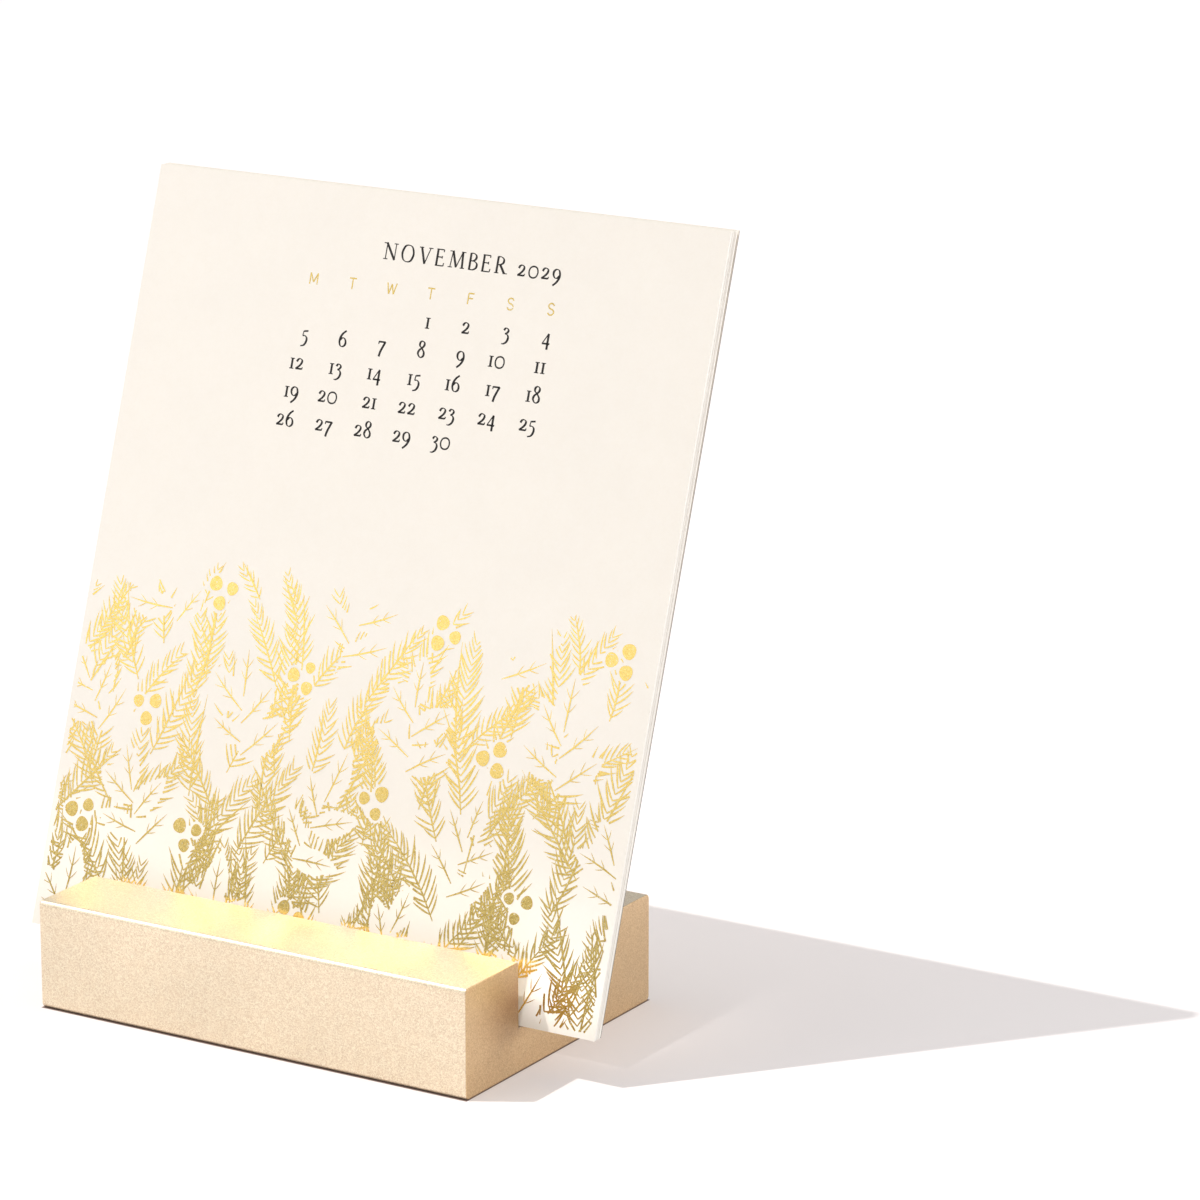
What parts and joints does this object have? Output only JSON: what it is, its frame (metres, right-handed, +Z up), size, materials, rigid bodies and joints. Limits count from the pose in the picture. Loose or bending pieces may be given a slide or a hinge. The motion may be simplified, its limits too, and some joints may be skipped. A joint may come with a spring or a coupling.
{
  "type": "desk calendar",
  "caption": "Desk calendar: loose printed month cards lean back in the groove of a solid block stand, and each card lifts out.",
  "frame": {"origin": "centre of the stand block's flat underside", "axes": "+X along the groove, to the right as the cards are read; +Y to the back; +Z up. The cards face -Y and lean back."},
  "size_m": [0.1524, 0.0821, 0.1791],
  "materials": {
    "gold_paint": "satin metallic gold paint on a solid wood block, fine speckle",
    "card_stock": "matte uncoated cream card",
    "gold_foil": "bright hot-stamped gold foil on card",
    "print_ink": "matte near-black printing ink on card"
  },
  "bodies": {
    "stand": {"stand_block": "gold_paint"},
    "november": {"card_november": "card_stock"},
    "december": {"card_december": "card_stock"},
    "january": {"card_january": "card_stock"},
    "february": {"card_february": "card_stock"},
    "march": {"card_march": "card_stock"},
    "april": {"card_april": "card_stock"},
    "may": {"card_may": "card_stock"},
    "june": {"card_june": "card_stock"},
    "july": {"card_july": "card_stock"},
    "august": {"card_august": "card_stock"},
    "september": {"card_september": "card_stock"},
    "october": {"card_october": "card_stock"}
  },
  "joints": [
    {"name": "lift_november", "type": "slide", "parent": "stand", "child": "november", "axis": [0, 0.319, 0.9478], "range_m": [0, 0.016]},
    {"name": "lift_december", "type": "slide", "parent": "stand", "child": "december", "axis": [0, 0.3191, 0.9477], "range_m": [0, 0.016]},
    {"name": "lift_january", "type": "slide", "parent": "stand", "child": "january", "axis": [0, 0.3192, 0.9477], "range_m": [0, 0.016]},
    {"name": "lift_february", "type": "slide", "parent": "stand", "child": "february", "axis": [0, 0.3192, 0.9477], "range_m": [0, 0.016]},
    {"name": "lift_march", "type": "slide", "parent": "stand", "child": "march", "axis": [0, 0.3193, 0.9476], "range_m": [0, 0.016]},
    {"name": "lift_april", "type": "slide", "parent": "stand", "child": "april", "axis": [0, 0.3194, 0.9476], "range_m": [0, 0.016]},
    {"name": "lift_may", "type": "slide", "parent": "stand", "child": "may", "axis": [0, 0.3195, 0.9476], "range_m": [0, 0.016]},
    {"name": "lift_june", "type": "slide", "parent": "stand", "child": "june", "axis": [0, 0.3196, 0.9476], "range_m": [0, 0.016]},
    {"name": "lift_july", "type": "slide", "parent": "stand", "child": "july", "axis": [0, 0.3213, 0.947], "range_m": [0, 0.016]},
    {"name": "lift_august", "type": "slide", "parent": "stand", "child": "august", "axis": [0, 0.3214, 0.9469], "range_m": [0, 0.016]},
    {"name": "lift_september", "type": "slide", "parent": "stand", "child": "september", "axis": [0, 0.3215, 0.9469], "range_m": [0, 0.016]},
    {"name": "lift_october", "type": "slide", "parent": "stand", "child": "october", "axis": [0, 0.3249, 0.9458], "range_m": [0, 0.016]}
  ]
}
